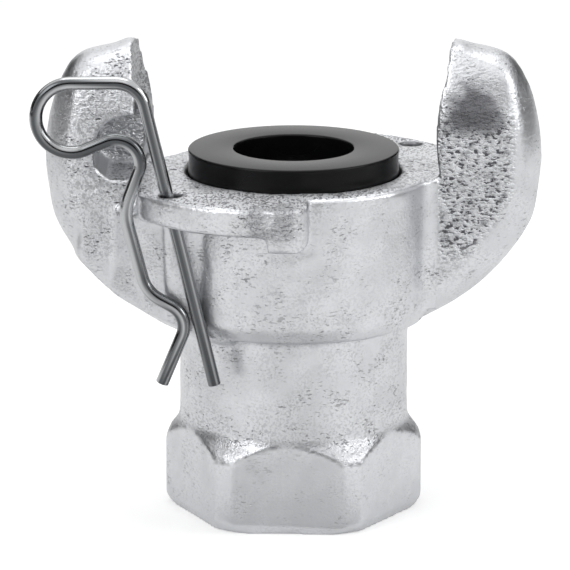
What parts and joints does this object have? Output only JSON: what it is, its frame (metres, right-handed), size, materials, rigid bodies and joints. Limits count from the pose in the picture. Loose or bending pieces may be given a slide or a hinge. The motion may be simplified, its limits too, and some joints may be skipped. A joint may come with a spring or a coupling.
{
  "type": "claw hose coupling",
  "caption": "Claw hose coupling half: cast body with opposed claws and ledges, threaded hexagon socket, rubber sealing washer and a swivelling wire safety clip.",
  "frame": {"origin": "centre of the hexagon's end face, on the thread axis", "axes": "+Z along the thread axis towards the washer, X through the claws, -Y towards the ledge that holds the clip"},
  "size_m": [0.0703, 0.0524, 0.0668],
  "materials": {
    "casting": "zinc plated, satin with a cast grain",
    "washer_rubber": "matt",
    "clip_wire": "polished spring wire"
  },
  "bodies": {
    "coupling": {"coupling_body": "casting", "sealing_washer": "washer_rubber"},
    "clip": {"safety_clip": "clip_wire"}
  },
  "joints": [
    {"name": "clip_swivel", "type": "hinge", "parent": "coupling", "child": "clip", "pos_m": [-0.01676, -0.01619, 0.0464], "axis": [-0.2317, 0, 0.9728], "range_deg": [-5, 90]}
  ]
}
